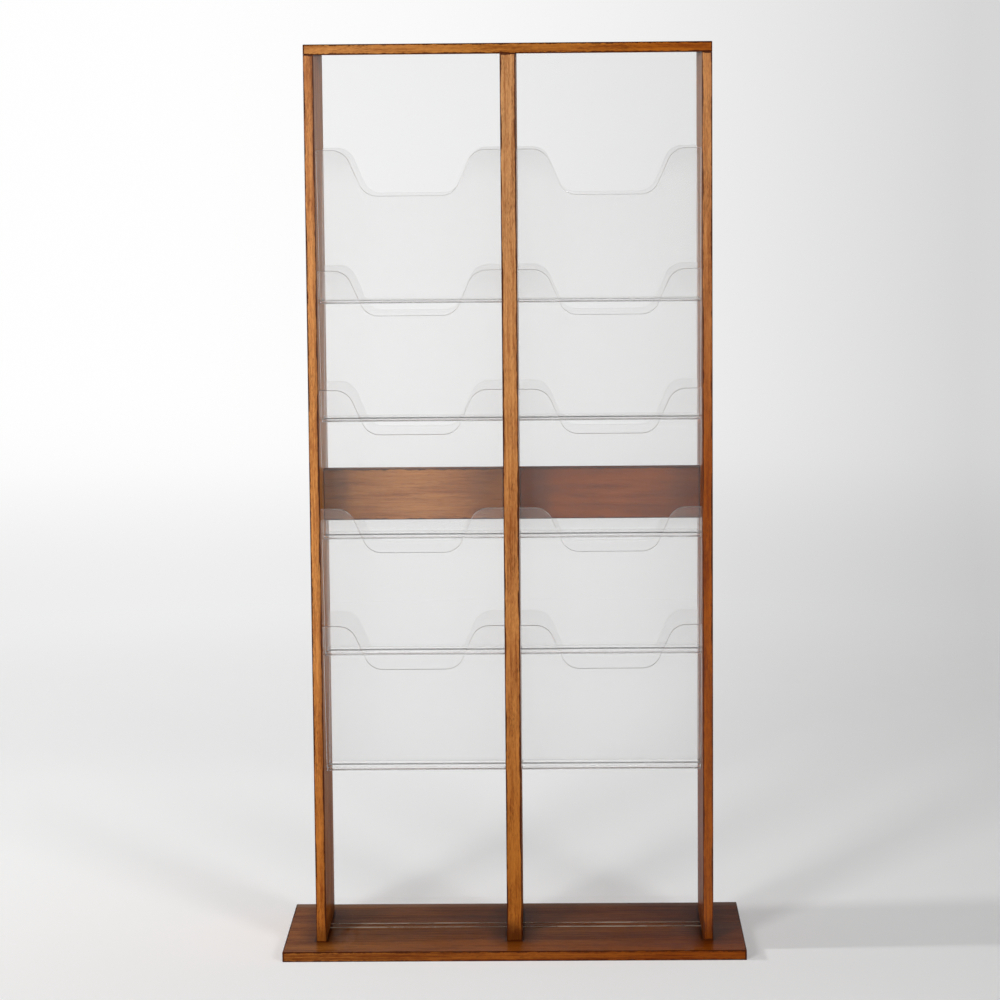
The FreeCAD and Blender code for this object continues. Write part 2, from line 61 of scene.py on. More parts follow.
class Wire:
    """An output socket of a shader tree that can be used in arithmetic."""

    def __init__(self, graph: "Graph", socket: bpy.types.NodeSocket) -> None:
        """Keeps the tree and the socket."""
        self.graph = graph
        self.socket = socket

    def __add__(self, other: "Wire | float") -> "Wire":
        """The sum."""
        return self.graph.maths("ADD", self, other)

    def __radd__(self, other: float) -> "Wire":
        """The sum, with the number first."""
        return self.graph.maths("ADD", other, self)

    def __sub__(self, other: "Wire | float") -> "Wire":
        """The difference."""
        return self.graph.maths("SUBTRACT", self, other)

    def __rsub__(self, other: float) -> "Wire":
        """The difference, with the number first."""
        return self.graph.maths("SUBTRACT", other, self)

    def __mul__(self, other: "Wire | float") -> "Wire":
        """The product."""
        return self.graph.maths("MULTIPLY", self, other)

    def __rmul__(self, other: float) -> "Wire":
        """The product, with the number first."""
        return self.graph.maths("MULTIPLY", other, self)

    def __truediv__(self, other: "Wire | float") -> "Wire":
        """The quotient."""
        return self.graph.maths("DIVIDE", self, other)

    def __pow__(self, other: float) -> "Wire":
        """The power."""
        return self.graph.maths("POWER", self, other)


class Graph:
    """Builds a node tree from typed calls."""

    def __init__(self, tree: bpy.types.NodeTree) -> None:
        """Starts on an empty tree."""
        self.tree = tree
        tree.nodes.clear()

    def node(self, kind: str, settings: dict | None = None, **inputs: object) -> bpy.types.Node:
        """Adds a node.

        Args:
            kind: the node's type name.
            settings: attributes to set before the sockets.
            inputs: values or wires by socket name, with underscores for spaces, or by index as i0, i1.

        Returns:
            The node.
        """
        made = self.tree.nodes.new(kind)
        for name, value in (settings or {}).items():
            setattr(made, name, value)
        for name, value in inputs.items():
            key = int(name[1:]) if name[0] == "i" and name[1:].isdigit() else name.replace("_", " ")
            self.feed(made.inputs[key], value)
        return made

    def feed(self, socket: bpy.types.NodeSocket, value: object) -> None:
        """Links a wire or a socket to an input, or sets its value."""
        if isinstance(value, Wire):
            value = value.socket
        if isinstance(value, bpy.types.NodeSocket):
            self.tree.links.new(value, socket)
        else:
            socket.default_value = value

    def maths(self, operation: str, *values: "Wire | float") -> Wire:
        """One Math node."""
        inputs = {f"i{place}": value for place, value in enumerate(values)}
        return Wire(self, self.node("ShaderNodeMath", {"operation": operation}, **inputs).outputs[0])

    def smooth(self, value: Wire, low: float, high: float) -> Wire:
        """A smooth step from 0 at low to 1 at high, where low may be the larger."""
        if low > high:
            return 1 - self.smooth(value, high, low)
        made = self.node("ShaderNodeMapRange", {"interpolation_type": "SMOOTHSTEP"},
                         Value=value, From_Min=low, From_Max=high)
        return Wire(self, made.outputs["Result"])

    def vector(self, x: "Wire | float", y: "Wire | float", z: "Wire | float") -> bpy.types.NodeSocket:
        """Joins three values into a vector."""
        return self.node("ShaderNodeCombineXYZ", X=x, Y=y, Z=z).outputs[0]

    def noise(self, place: bpy.types.NodeSocket, scale: float, detail: float = 2.0,
              rough: float = 0.5) -> Wire:
        """Plain noise from 0 to 1 at a place."""
        made = self.node("ShaderNodeTexNoise", {"noise_dimensions": "3D"},
                         Vector=place, Scale=scale, Detail=detail, Roughness=rough)
        return Wire(self, made.outputs["Fac"])

    def blend(self, factor: "Wire | float", first: object, second: object,
              how: str = "MIX") -> bpy.types.NodeSocket:
        """Mixes two colours."""
        made = self.node("ShaderNodeMix", {"data_type": "RGBA", "blend_type": how, "clamp_factor": True})
        self.feed(made.inputs["Factor"], factor)
        self.feed(made.inputs[6], first)
        self.feed(made.inputs[7], second)
        return made.outputs[2]


def looked_at(graph: Graph) -> Wire:
    """1 where a surface is seen straight, in a gloss or through glass, and 0 where it only lights others."""
    path = graph.node("ShaderNodeLightPath").outputs
    sight = [Wire(graph, path[f"Is {kind} Ray"]) for kind in ("Camera", "Glossy", "Transmission")]
    return graph.maths("MINIMUM", sight[0] + sight[1] + sight[2], 1.0)


def new_material(name: str) -> tuple[bpy.types.Material, Graph]:
    """A material with an empty node tree."""
    material = bpy.data.materials.new(name)
    material.use_nodes = True
    return material, Graph(material.node_tree)


def rgba(colour: tuple[float, float, float]) -> tuple[float, float, float, float]:
    """A colour with full alpha."""
    return (*colour, 1.0)


# ---------------------------------------------------------------------------------------------
# Finishes
# ---------------------------------------------------------------------------------------------


class Grain(Enum):
    """The axis that a board's grain runs along, with its wider and its thinner cross axis."""

    UPRIGHT = (2, 1, 0)
    LYING = (0, 1, 2)
    ON_EDGE = (0, 2, 1)


@dataclass(frozen=True)
class WoodFinish:
    """A stained and varnished fine-grained hardwood board, with its tone at three places along the grain."""

    name: str
    node: str
    grain: Grain
    first: tuple[float, float, float]
    middle: tuple[float, float, float]
    last: tuple[float, float, float]
    seed: float
    stain: tuple[float, float, float] = (0.055, 0.01, 0.001)
    contrast: float = 1.0
    coarse: float = 1.0
    stretch: float = 1.0
    edge_width: float = 2.6 * MM
    edge_strength: float = 1.0
    varnish: float = 0.12
    foot_varnish: float = 1.0
    sheen: float = 0.32
    ring_pitch: float = 6.0 * MM
    pore_strength: float = 0.6
    relief: float = 0.12
    relief_depth: float = 0.4 * MM

    def build(self) -> bpy.types.Material:
        """Builds the board's material.

        Returns:
            The material, whose pattern is centred on the board.
        """
        material, graph = new_material(self.name)
        low, high = (Vector(corner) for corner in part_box(self.node))
        middle, half = (low + high) / 2, (high - low) / 2
        place = graph.node("ShaderNodeTexCoord").outputs["Object"]
        centred = graph.node("ShaderNodeVectorMath", {"operation": "SUBTRACT"}, i0=place, i1=middle)
        split = graph.node("ShaderNodeSeparateXYZ", Vector=centred.outputs[0]).outputs
        axes = [Wire(graph, output) for output in split]
        along, across, through = (axes[axis] for axis in self.grain.value)
        reach = half[self.grain.value[0]]

        tone = self.tone(graph, along / reach)
        shade = self.figure(graph, along, across, through)
        pores = self.pores(graph, along, across, through)
        gathered = self.edge(graph, axes, half, along)
        colour = graph.blend(shade, self.lightened(graph, tone), self.deepened(graph, tone))
        colour = graph.blend(pores * self.pore_strength, colour, rgba(self.stain))
        colour = graph.blend(gathered * self.edge_strength, colour, rgba(self.stain))
        colour = self.marked(graph, colour, axes, half)

        patches = graph.noise(graph.vector(along * 4, across * 20, through * 20), 1.0)
        rough = self.sheen + 0.14 * (patches - 0.5) + 0.1 * pores
        height = 0.6 * shade + 0.4 * (1 - pores)
        bump = graph.node("ShaderNodeBump", Strength=self.relief, Distance=self.relief_depth, Height=height)
        left = self.foot_varnish + (1 - self.foot_varnish) * graph.smooth(along / reach, -0.95, 0.1)
        coat = self.varnish * (0.7 + 0.6 * patches) * left
        surface = graph.node("ShaderNodeBsdfPrincipled", Base_Color=colour, Roughness=rough,
                             Normal=bump.outputs[0], Specular_IOR_Level=0.0, Coat_Weight=coat,
                             Coat_Roughness=self.sheen)
        graph.node("ShaderNodeOutputMaterial", Surface=surface.outputs[0])
        return material

    def marked(self, graph: Graph, colour: bpy.types.NodeSocket, axes: list[Wire],
               half: Vector) -> bpy.types.NodeSocket:
        """The board's colour with its own marks on it, of which a plain board has none."""
        return colour

    def tone(self, graph: Graph, place: Wire) -> bpy.types.NodeSocket:
        """The board's colour, from its lower or left end to the other; on the uprights it also holds painted
        sheen towards the top.

        Args:
            graph: the material's tree.
            place: where along the board, from -1 to 1.

        Returns:
            A colour.
        """
        half = graph.blend(graph.smooth(place, -0.95, 0.0), rgba(self.first), rgba(self.middle))
        return graph.blend(graph.smooth(place, 0.0, 0.8), half, rgba(self.last))

    def deepened(self, graph: Graph, tone: bpy.types.NodeSocket) -> bpy.types.NodeSocket:
        """The same colour where more stain has soaked in."""
        return graph.blend(1.0, tone, rgba((0.52, 0.36, 0.24)), "MULTIPLY")

    def lightened(self, graph: Graph, tone: bpy.types.NodeSocket) -> bpy.types.NodeSocket:
        """The same colour where the bare grain shows through."""
        return graph.blend(1.0, tone, rgba((1.12, 1.16, 1.2)), "MULTIPLY")

    def figure(self, graph: Graph, along: Wire, across: Wire, through: Wire) -> Wire:
        """How dark the grain is, from growth rings, fibres and uneven stain.

        Args:
            graph: the material's tree.
            along: distance along the grain from the board's middle.
            across: distance across its wider side.
            through: distance through its thinner side.

        Returns:
            A value from 0, pale, to 1, deep.
        """
        shift = self.seed * 7.3
        coarse = self.coarse
        drift = graph.noise(graph.vector(along * 1.4 + shift, across * 5, through * 5), 1.0, 1.0)
        pith = 0.05 + 0.055 * drift
        radius = graph.maths("SQRT", (across + 0.02 * (self.seed % 3 - 1)) ** 2 + (through + pith) ** 2)
        wobble = graph.noise(graph.vector(along * 5 + shift, across * 60, through * 60), 1.0, 2.0)
        turns = radius / (self.ring_pitch * coarse) + 1.6 * wobble
        rings = 0.5 + 0.5 * graph.maths("SINE", turns * math.tau)
        wide, fine, fleck = 36 / coarse, 330 / coarse, 480 / coarse
        run = along / self.stretch
        blotch = graph.noise(graph.vector(run * 7 + shift, across * wide, through * wide), 1.0, 4.0, 0.6)
        fibres = graph.noise(graph.vector(run * 9 + shift, across * fine, through * fine), 1.0, 4.0, 0.7)
        flecks = graph.noise(graph.vector(run * 100 + shift, across * fleck, through * fleck), 1.0, 3.0, 0.6)
        mixed = 0.12 * (rings - 0.5) + 1.5 * (fibres - 0.5) + 1.2 * (blotch - 0.5) + 0.9 * (flecks - 0.5)
        return graph.smooth(0.42 + self.contrast * mixed, 0.0, 1.0)

    def pores(self, graph: Graph, along: Wire, across: Wire, through: Wire) -> Wire:
        """Short dark pores that lie along the grain."""
        ticks = graph.noise(graph.vector(along * 130 + self.seed, across * 1500, through * 1500), 1.0, 1.0)
        clusters = graph.noise(graph.vector(along * 16, across * 90, through * 90 + self.seed), 1.0, 2.0)
        return graph.smooth(ticks + 0.5 * clusters, 0.82, 0.98)

    def edge(self, graph: Graph, axes: list[Wire], half: Vector, along: Wire) -> Wire:
        """Where dark stain has gathered along the board's edges, unevenly.

        Args:
            graph: the material's tree.
            axes: distances from the board's middle.
            half: half of the board's size.
            along: distance along the grain.

        Returns:
            A value from 0, clear of the edges, to 1, at a dark edge.
        """
        depths = [size - graph.maths("ABSOLUTE", axis) for axis, size in zip(axes, half)]
        least = graph.maths("MINIMUM", depths[0], depths[1])
        most = graph.maths("MAXIMUM", depths[0], depths[1])
        inset = graph.maths("MAXIMUM", least, graph.maths("MINIMUM", most, depths[2]))
        patchy = graph.noise(graph.vector(along * 14 + self.seed, axes[0] * 60, axes[1] * 60), 1.0, 5.0, 0.7)
        width = self.edge_width * (0.55 + 1.1 * graph.smooth(patchy, 0.35, 0.7))
        gathered = graph.smooth(inset / width, 1.0, 0.6)
        worn = graph.noise(graph.vector(along * 45 + self.seed, axes[0] * 300, axes[1] * 300), 1.0, 3.0)
        return gathered * (0.65 + 0.7 * worn)


@dataclass(frozen=True)
class UprightFinish(WoodFinish):
    """An upright's finish, darker at its foot and with a darker band down its front edge."""

    foot: float = 0.5
    foot_height: float = 45 * MM
    foot_core: float = 12 * MM
    raggedness: float = 30 * MM
    band: float = 0.0

    def marked(self, graph: Graph, colour: bpy.types.NodeSocket, axes: list[Wire],
               half: Vector) -> bpy.types.NodeSocket:
        """Adds the dark foot and the band.

        Args:
            graph: the material's tree.
            colour: the board's colour so far.
            axes: distances from the board's middle.
            half: half of the board's size.

        Returns:
            The colour with both on it.
        """
        x, y, z = axes
        ragged = graph.noise(graph.vector(z * 60, x * 90, y * 90 + self.seed), 1.0, 3.0)
        rise = z + half.z + self.raggedness * (ragged - 0.5)
        darker_foot = self.foot * graph.smooth(rise, self.foot_height, self.foot_core)
        colour = graph.blend(darker_foot, colour, rgba(self.stain))
        drift = graph.noise(graph.vector(z * 30 + self.seed, x * 200, y * 200), 1.0, 3.0)
        aside = x / half.x + 0.5 * (drift - 0.5)
        front = graph.smooth(y + half.y, 1.5 * MM, 0.5 * MM)
        return graph.blend(self.band * front * graph.smooth(aside, 0.1, 0.75), colour, rgba(self.stain))


@dataclass(frozen=True)
class BaseFinish(WoodFinish):
    """The base plate's finish, with painted shade around the feet of the uprights and a painted lit strip
    along its rear edge.
    """

    feet: tuple[str, ...] = ("left_upright", "centre_upright", "right_upright")
    line: float = 5 * MM
    gap_shade_strength: float = 0.8
    foot_shade_reach: float = 45 * MM
    foot_shade_strength: float = 0.6
    lit_strip_tone: tuple[float, float, float] = (0.21, 0.15, 0.11)
    lit_strip_width: float = 34 * MM

    def marked(self, graph: Graph, colour: bpy.types.NodeSocket, axes: list[Wire],
               half: Vector) -> bpy.types.NodeSocket:
        """Adds painted shade around each foot and the painted lit strip along the rear edge.

        Args:
            graph: the material's tree.
            colour: the board's colour so far.
            axes: distances from the board's middle.
            half: half of the board's size.

        Returns:
            The colour with both on it.
        """
        x, y, z = axes
        top = graph.smooth(z, half.z - 1.5 * MM, half.z - 0.5 * MM)
        patchy = graph.noise(graph.vector(x * 8, y * 60, self.seed), 1.0, 3.0)
        # painted light: the rear strip of the top is made paler where side light reaches past the uprights
        lit_strip = graph.smooth(y, half.y - self.lit_strip_width, half.y - 0.4 * self.lit_strip_width)
        lit_strip = lit_strip * (0.2 + 0.5 * patchy)
        colour = graph.blend(top * lit_strip, colour, rgba(self.lit_strip_tone))
        base_low, base_high = (Vector(corner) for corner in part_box(self.node))
        # painted shade: a thin dark line in the gap at each upright's foot, and a wider pool of shade around
        # it
        for node in self.feet:
            low, high = (Vector(corner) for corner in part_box(node))
            centre, size = (low + high - base_low - base_high) / 2, (high - low) / 2
            beyond_x = graph.maths("MAXIMUM", graph.maths("ABSOLUTE", x - centre.x) - size.x, 0.0)
            beyond_y = graph.maths("MAXIMUM", graph.maths("ABSOLUTE", y - centre.y) - size.y, 0.0)
            away = graph.maths("SQRT", beyond_x * beyond_x + beyond_y * beyond_y)
            dark = self.gap_shade_strength * graph.smooth(away, self.line, 0.3 * self.line)
            dark = dark + self.foot_shade_strength * graph.smooth(away, self.foot_shade_reach, 0.0)
            colour = graph.blend(top * dark, colour, rgba(self.stain))
        return colour


@dataclass(frozen=True)
class BareWoodFinish:
    """Unfinished beech, for the dowels."""

    name: str = "beech_dowel"

    def build(self) -> bpy.types.Material:
        """Builds the material."""
        material, graph = new_material(self.name)
        place = graph.node("ShaderNodeTexCoord").outputs["Object"]
        flecks = graph.noise(place, 900.0, 3.0)
        shade = graph.noise(place, 120.0, 2.0)
        colour = graph.blend(shade, rgba((0.55, 0.36, 0.2)), rgba((0.42, 0.25, 0.12)))
        colour = graph.blend(graph.smooth(flecks, 0.55, 0.75) * 0.5, colour, rgba((0.22, 0.11, 0.05)))
        bump = graph.node("ShaderNodeBump", Strength=0.2, Distance=0.1 * MM, Height=flecks)
        surface = graph.node("ShaderNodeBsdfPrincipled", Base_Color=colour, Roughness=0.6 + 0.2 * shade,
                             Normal=bump.outputs[0])
        graph.node("ShaderNodeOutputMaterial", Surface=surface.outputs[0])
        return material


@dataclass(frozen=True)
class ZincFinish:
    """Dull zinc-plated steel, for the screws."""

    name: str = "zinc_plated_steel"

    def build(self) -> bpy.types.Material:
        """Builds the material."""
        material, graph = new_material(self.name)
        place = graph.node("ShaderNodeTexCoord").outputs["Object"]
        mottle = graph.noise(place, 700.0, 4.0, 0.6)
        colour = graph.blend(mottle, rgba((0.52, 0.53, 0.52)), rgba((0.36, 0.36, 0.34)))
        bump = graph.node("ShaderNodeBump", Strength=0.15, Distance=0.05 * MM, Height=mottle)
        surface = graph.node("ShaderNodeBsdfPrincipled", Base_Color=colour, Metallic=1.0,
                             Roughness=0.3 + 0.25 * mottle, Normal=bump.outputs[0])
        graph.node("ShaderNodeOutputMaterial", Surface=surface.outputs[0])
        return material


@dataclass(frozen=True)
class AcrylicFinish:
    """Clear acrylic with the faintest handling marks, and painted shade that darkens the pockets towards
    their lips.
    """

    name: str = "polished_acrylic"
    clarity: float = 1.0
    tint: tuple[float, float, float] = (0.99, 0.99, 0.99)
    lip_shade_tone: tuple[float, float, float] = (0.943, 0.943, 0.943)
    shade: tuple[float, float, float] = (0.96, 0.96, 0.96)
    mirror: tuple[float, float, float] = (0.6, 0.6, 0.6)
    refraction: float = 1.49
    roughness: float = 0.004
    lip_shade_from: float = 0.95
    lip_shade_full: float = 1.35

    def build(self) -> bpy.types.Material:
        """Builds the material, which lets lamplight through to what stands behind it."""
        material, graph = new_material(self.name)
        place = graph.node("ShaderNodeTexCoord").outputs["Object"]
        height = Wire(graph, graph.node("ShaderNodeSeparateXYZ", Vector=place).outputs["Z"])
        smudge = graph.noise(place, 14.0, 3.0, 0.6)
        wiped = graph.node("ShaderNodeMapping", Vector=place, Scale=(9, 9, 160)).outputs[0]
        marks = graph.smooth(smudge, 0.55, 0.8) * graph.noise(wiped, 3.0)
        lip = Wire(graph, graph.node("ShaderNodeAttribute", {"attribute_name": LIP}).outputs["Fac"])
        # painted shade: the clear walls are tinted darker towards each pocket's lip
        lip_shade = lip * graph.smooth(height, self.lip_shade_from, self.lip_shade_full)
        tone = graph.blend(lip_shade, rgba(self.tint), rgba(self.lip_shade_tone))
        surface = graph.node("ShaderNodeBsdfPrincipled", Base_Color=tone, Transmission_Weight=self.clarity,
                             IOR=self.refraction, Roughness=self.roughness + 0.02 * marks,
                             Specular_Tint=rgba(self.mirror))
        clear = graph.node("ShaderNodeBsdfTransparent", Color=rgba(self.shade))
        path = graph.node("ShaderNodeLightPath")
        bounced = graph.node("ShaderNodeMixShader", i0=path.outputs["Is Diffuse Ray"], i1=surface.outputs[0],
                             i2=clear.outputs[0])
        mixed = graph.node("ShaderNodeMixShader", i0=path.outputs["Is Shadow Ray"], i1=bounced.outputs[0],
                           i2=clear.outputs[0])
        graph.node("ShaderNodeOutputMaterial", Surface=mixed.outputs[0])
        return material


@dataclass(frozen=True)
class CementFinish:
    """Clear cement that dried a little cloudy, more in some places than in others."""

    name: str = "dried_cement"
    clear: tuple[float, float, float] = (0.26, 0.18, 0.13)
    cloudy: tuple[float, float, float] = (0.4, 0.32, 0.25)

    def build(self) -> bpy.types.Material:
        """Builds the material."""
        material, graph = new_material(self.name)
        place = graph.node("ShaderNodeTexCoord").outputs["Object"]
        cloud = graph.noise(place, 9.0, 4.0, 0.6)
        ripple = graph.noise(place, 260.0, 2.0)
        bump = graph.node("ShaderNodeBump", Strength=0.2, Distance=0.1 * MM, Height=ripple)
        tone = graph.blend(cloud, rgba(self.clear), rgba(self.cloudy))
        solid = 0.15 + 0.7 * graph.smooth(cloud, 0.35, 0.65)
        surface = graph.node("ShaderNodeBsdfPrincipled", Base_Color=tone, Roughness=0.3 + 0.2 * ripple,
                             Alpha=solid, Normal=bump.outputs[0])
        graph.node("ShaderNodeOutputMaterial", Surface=surface.outputs[0])
        return material


# ---------------------------------------------------------------------------------------------
# The rack
# ---------------------------------------------------------------------------------------------


def dress(node: str, material: bpy.types.Material) -> None:
    """Gives a CAD node a material in place of its own."""
    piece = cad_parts[node]
    for place in piece.material_slots:
        place.material = material


@dataclass
class WoodFrame:
    """The base plate, the uprights and the rails."""

    finishes: list[WoodFinish] = field(default_factory=lambda: [
        BaseFinish("stained_base", "base_plate", Grain.LYING, (0.26, 0.085, 0.013), (0.225, 0.06, 0.006),
                   (0.19, 0.041, 0.002), 1.0, contrast=1.7, stretch=2.5, varnish=0.155, sheen=0.3),
        # The uprights' tones grow paler and greyer in their upper parts, partly the stain's own variation
        # and partly painted sheen, and darken towards the foot.
        UprightFinish("stained_left_upright", "left_upright", Grain.UPRIGHT, (0.4, 0.125, 0.016),
                      (0.55, 0.224, 0.055), (0.52, 0.21, 0.06), 2.0, foot=0.55, varnish=0.5,
                      foot_varnish=0.35, band=0.35),
        UprightFinish("stained_centre_upright", "centre_upright", Grain.UPRIGHT, (0.335, 0.105, 0.012),
                      (0.45, 0.185, 0.05), (0.46, 0.215, 0.078), 3.0, foot=0.85, varnish=0.36,
                      foot_varnish=0.4),
        UprightFinish("stained_right_upright", "right_upright", Grain.UPRIGHT, (0.255, 0.06, 0.002),
                      (0.265, 0.06, 0.002), (0.43, 0.18, 0.055), 4.0, foot=0.4, varnish=0.48,
                      foot_varnish=0.8),
        WoodFinish("stained_top_rail", "top_rail", Grain.LYING, (0.46, 0.19, 0.05), (0.35, 0.125, 0.02),
                   (0.31, 0.085, 0.006), 5.0),
        WoodFinish("stained_left_rail", "left_cross_rail", Grain.ON_EDGE, (0.25, 0.085, 0.01),
                   (0.44, 0.18, 0.05), (0.3, 0.1, 0.015), 6.0, contrast=0.9, coarse=0.6, varnish=0.16),
        WoodFinish("stained_right_rail", "right_cross_rail", Grain.ON_EDGE, (0.21, 0.045, 0.001),
                   (0.23, 0.05, 0.001), (0.2, 0.043, 0.001), 7.0, contrast=0.9, coarse=0.6, varnish=0.02),
    ])

    def build(self) -> None:
        """Dresses every board."""
        for finish in self.finishes:
            dress(finish.node, finish.build())
            log.info("board %s", finish.node)


@dataclass
class Fasteners:
    """Screws and dowels inside the boards."""

    dowels: tuple[str, ...] = ("top_dowels", "outer_rail_dowels", "centre_rail_dowels")
    screws: str = "base_screws"

    def build(self) -> None:
        """Dresses the screws and dowels."""
        beech = BareWoodFinish().build()
        for node in self.dowels:
            dress(node, beech)
        dress(self.screws, ZincFinish().build())
        log.info("fasteners")


@dataclass
class Stack:
    """A geometry-nodes tree that repeats a mesh upwards at an even pitch."""

    name: str = "stack"

    def build(self) -> bpy.types.NodeTree:
        """Builds the tree.

        Returns:
            A tree with inputs Geometry, Count, Pitch, Wall and Rim, the last two being materials.
        """
        tree = bpy.data.node_groups.new(self.name, "GeometryNodeTree")
        graph = Graph(tree)
        sockets = tree.interface
        sockets.new_socket("Geometry", in_out="INPUT", socket_type="NodeSocketGeometry")
        sockets.new_socket("Count", in_out="INPUT", socket_type="NodeSocketInt")
        sockets.new_socket("Pitch", in_out="INPUT", socket_type="NodeSocketFloat")
        sockets.new_socket("Wall", in_out="INPUT", socket_type="NodeSocketMaterial")
        sockets.new_socket("Rim", in_out="INPUT", socket_type="NodeSocketMaterial")
        sockets.new_socket("Geometry", in_out="OUTPUT", socket_type="NodeSocketGeometry")
        given = graph.node("NodeGroupInput").outputs
        step = graph.node("ShaderNodeCombineXYZ", Z=given["Pitch"]).outputs[0]
        line = graph.node("GeometryNodeMeshLine", Count=given["Count"], Offset=step).outputs["Mesh"]
        copies = graph.node("GeometryNodeInstanceOnPoints", Points=line, Instance=given["Geometry"])
        dressed = graph.node("GeometryNodeRealizeInstances", Geometry=copies.outputs[0]).outputs[0]
        place = graph.node("GeometryNodeInputMaterialIndex").outputs[0]
        for index, part in enumerate(("Wall", "Rim")):
            mine = graph.node("FunctionNodeCompare", {"data_type": "INT", "operation": "EQUAL"},
                              i2=place, i3=index)
            dressed = graph.node("GeometryNodeSetMaterial", Geometry=dressed, Selection=mine.outputs[0],
                                 Material=given[part]).outputs[0]
        graph.node("NodeGroupOutput", Geometry=dressed)
        return tree


def set_inputs(modifier: bpy.types.NodesModifier, values: dict[str, object]) -> None:
    """Sets a geometry-nodes modifier's inputs by the name of each socket."""
    for item in modifier.node_group.interface.items_tree:
        if item.in_out == "INPUT" and item.name in values:
            modifier[item.identifier] = values[item.name]


def as_mesh(piece: bpy.types.Object) -> bpy.types.Object:
    """Turns a piece with modifiers into a plain mesh of the same name."""
    bpy.context.view_layer.update()
    evaluated = piece.evaluated_get(bpy.context.evaluated_depsgraph_get())
    mesh = bpy.data.meshes.new_from_object(evaluated)
    piece.modifiers.clear()
    piece.data = mesh
    mesh.name = piece.name
    return piece


def add_piece(name: str, shape: bmesh.types.BMesh) -> bpy.types.Object:
    """Makes an object at the origin from a bmesh."""
    mesh = bpy.data.meshes.new(name)
    shape.to_mesh(mesh)
    shape.free()
    piece = bpy.data.objects.new(name, mesh)
    bpy.context.scene.collection.objects.link(piece)
    return piece


@dataclass(frozen=True)
class Notch:
    """The finger notch's outline: two shoulders, two S-curves and a straight foot."""

    flat: float = 111 * MM
    mouth: float = 267 * MM
    depth: float = 80 * MM
    rounding: float = 33 * MM
    steps: int = 9

    def half(self) -> list[tuple[float, float]]:
        """The right half's points from the foot to the shoulder, as x and height below the lip."""
        across = (self.mouth - self.flat) / 2
        up = self.depth - 2 * self.rounding
        slope = math.atan2(up, across) + math.asin(2 * self.rounding / math.hypot(across, up))
        turns = [slope * step / self.steps for step in range(self.steps + 1)]
        low = [(self.flat / 2 + self.rounding * math.sin(turn),
                self.rounding * (1 - math.cos(turn)) - self.depth) for turn in turns]
        high = [(self.mouth / 2 - self.rounding * math.sin(turn),
                 -self.rounding * (1 - math.cos(turn))) for turn in reversed(turns)]
        return low + high

    def outline(self, half_width: float) -> list[tuple[float, float]]:
        """The whole upper edge from the left end to the right, as x and height below the lip."""
        right = self.half() + [(half_width, 0.0)]
        left = [(-x, drop) for x, drop in reversed(right)]
        return left + right


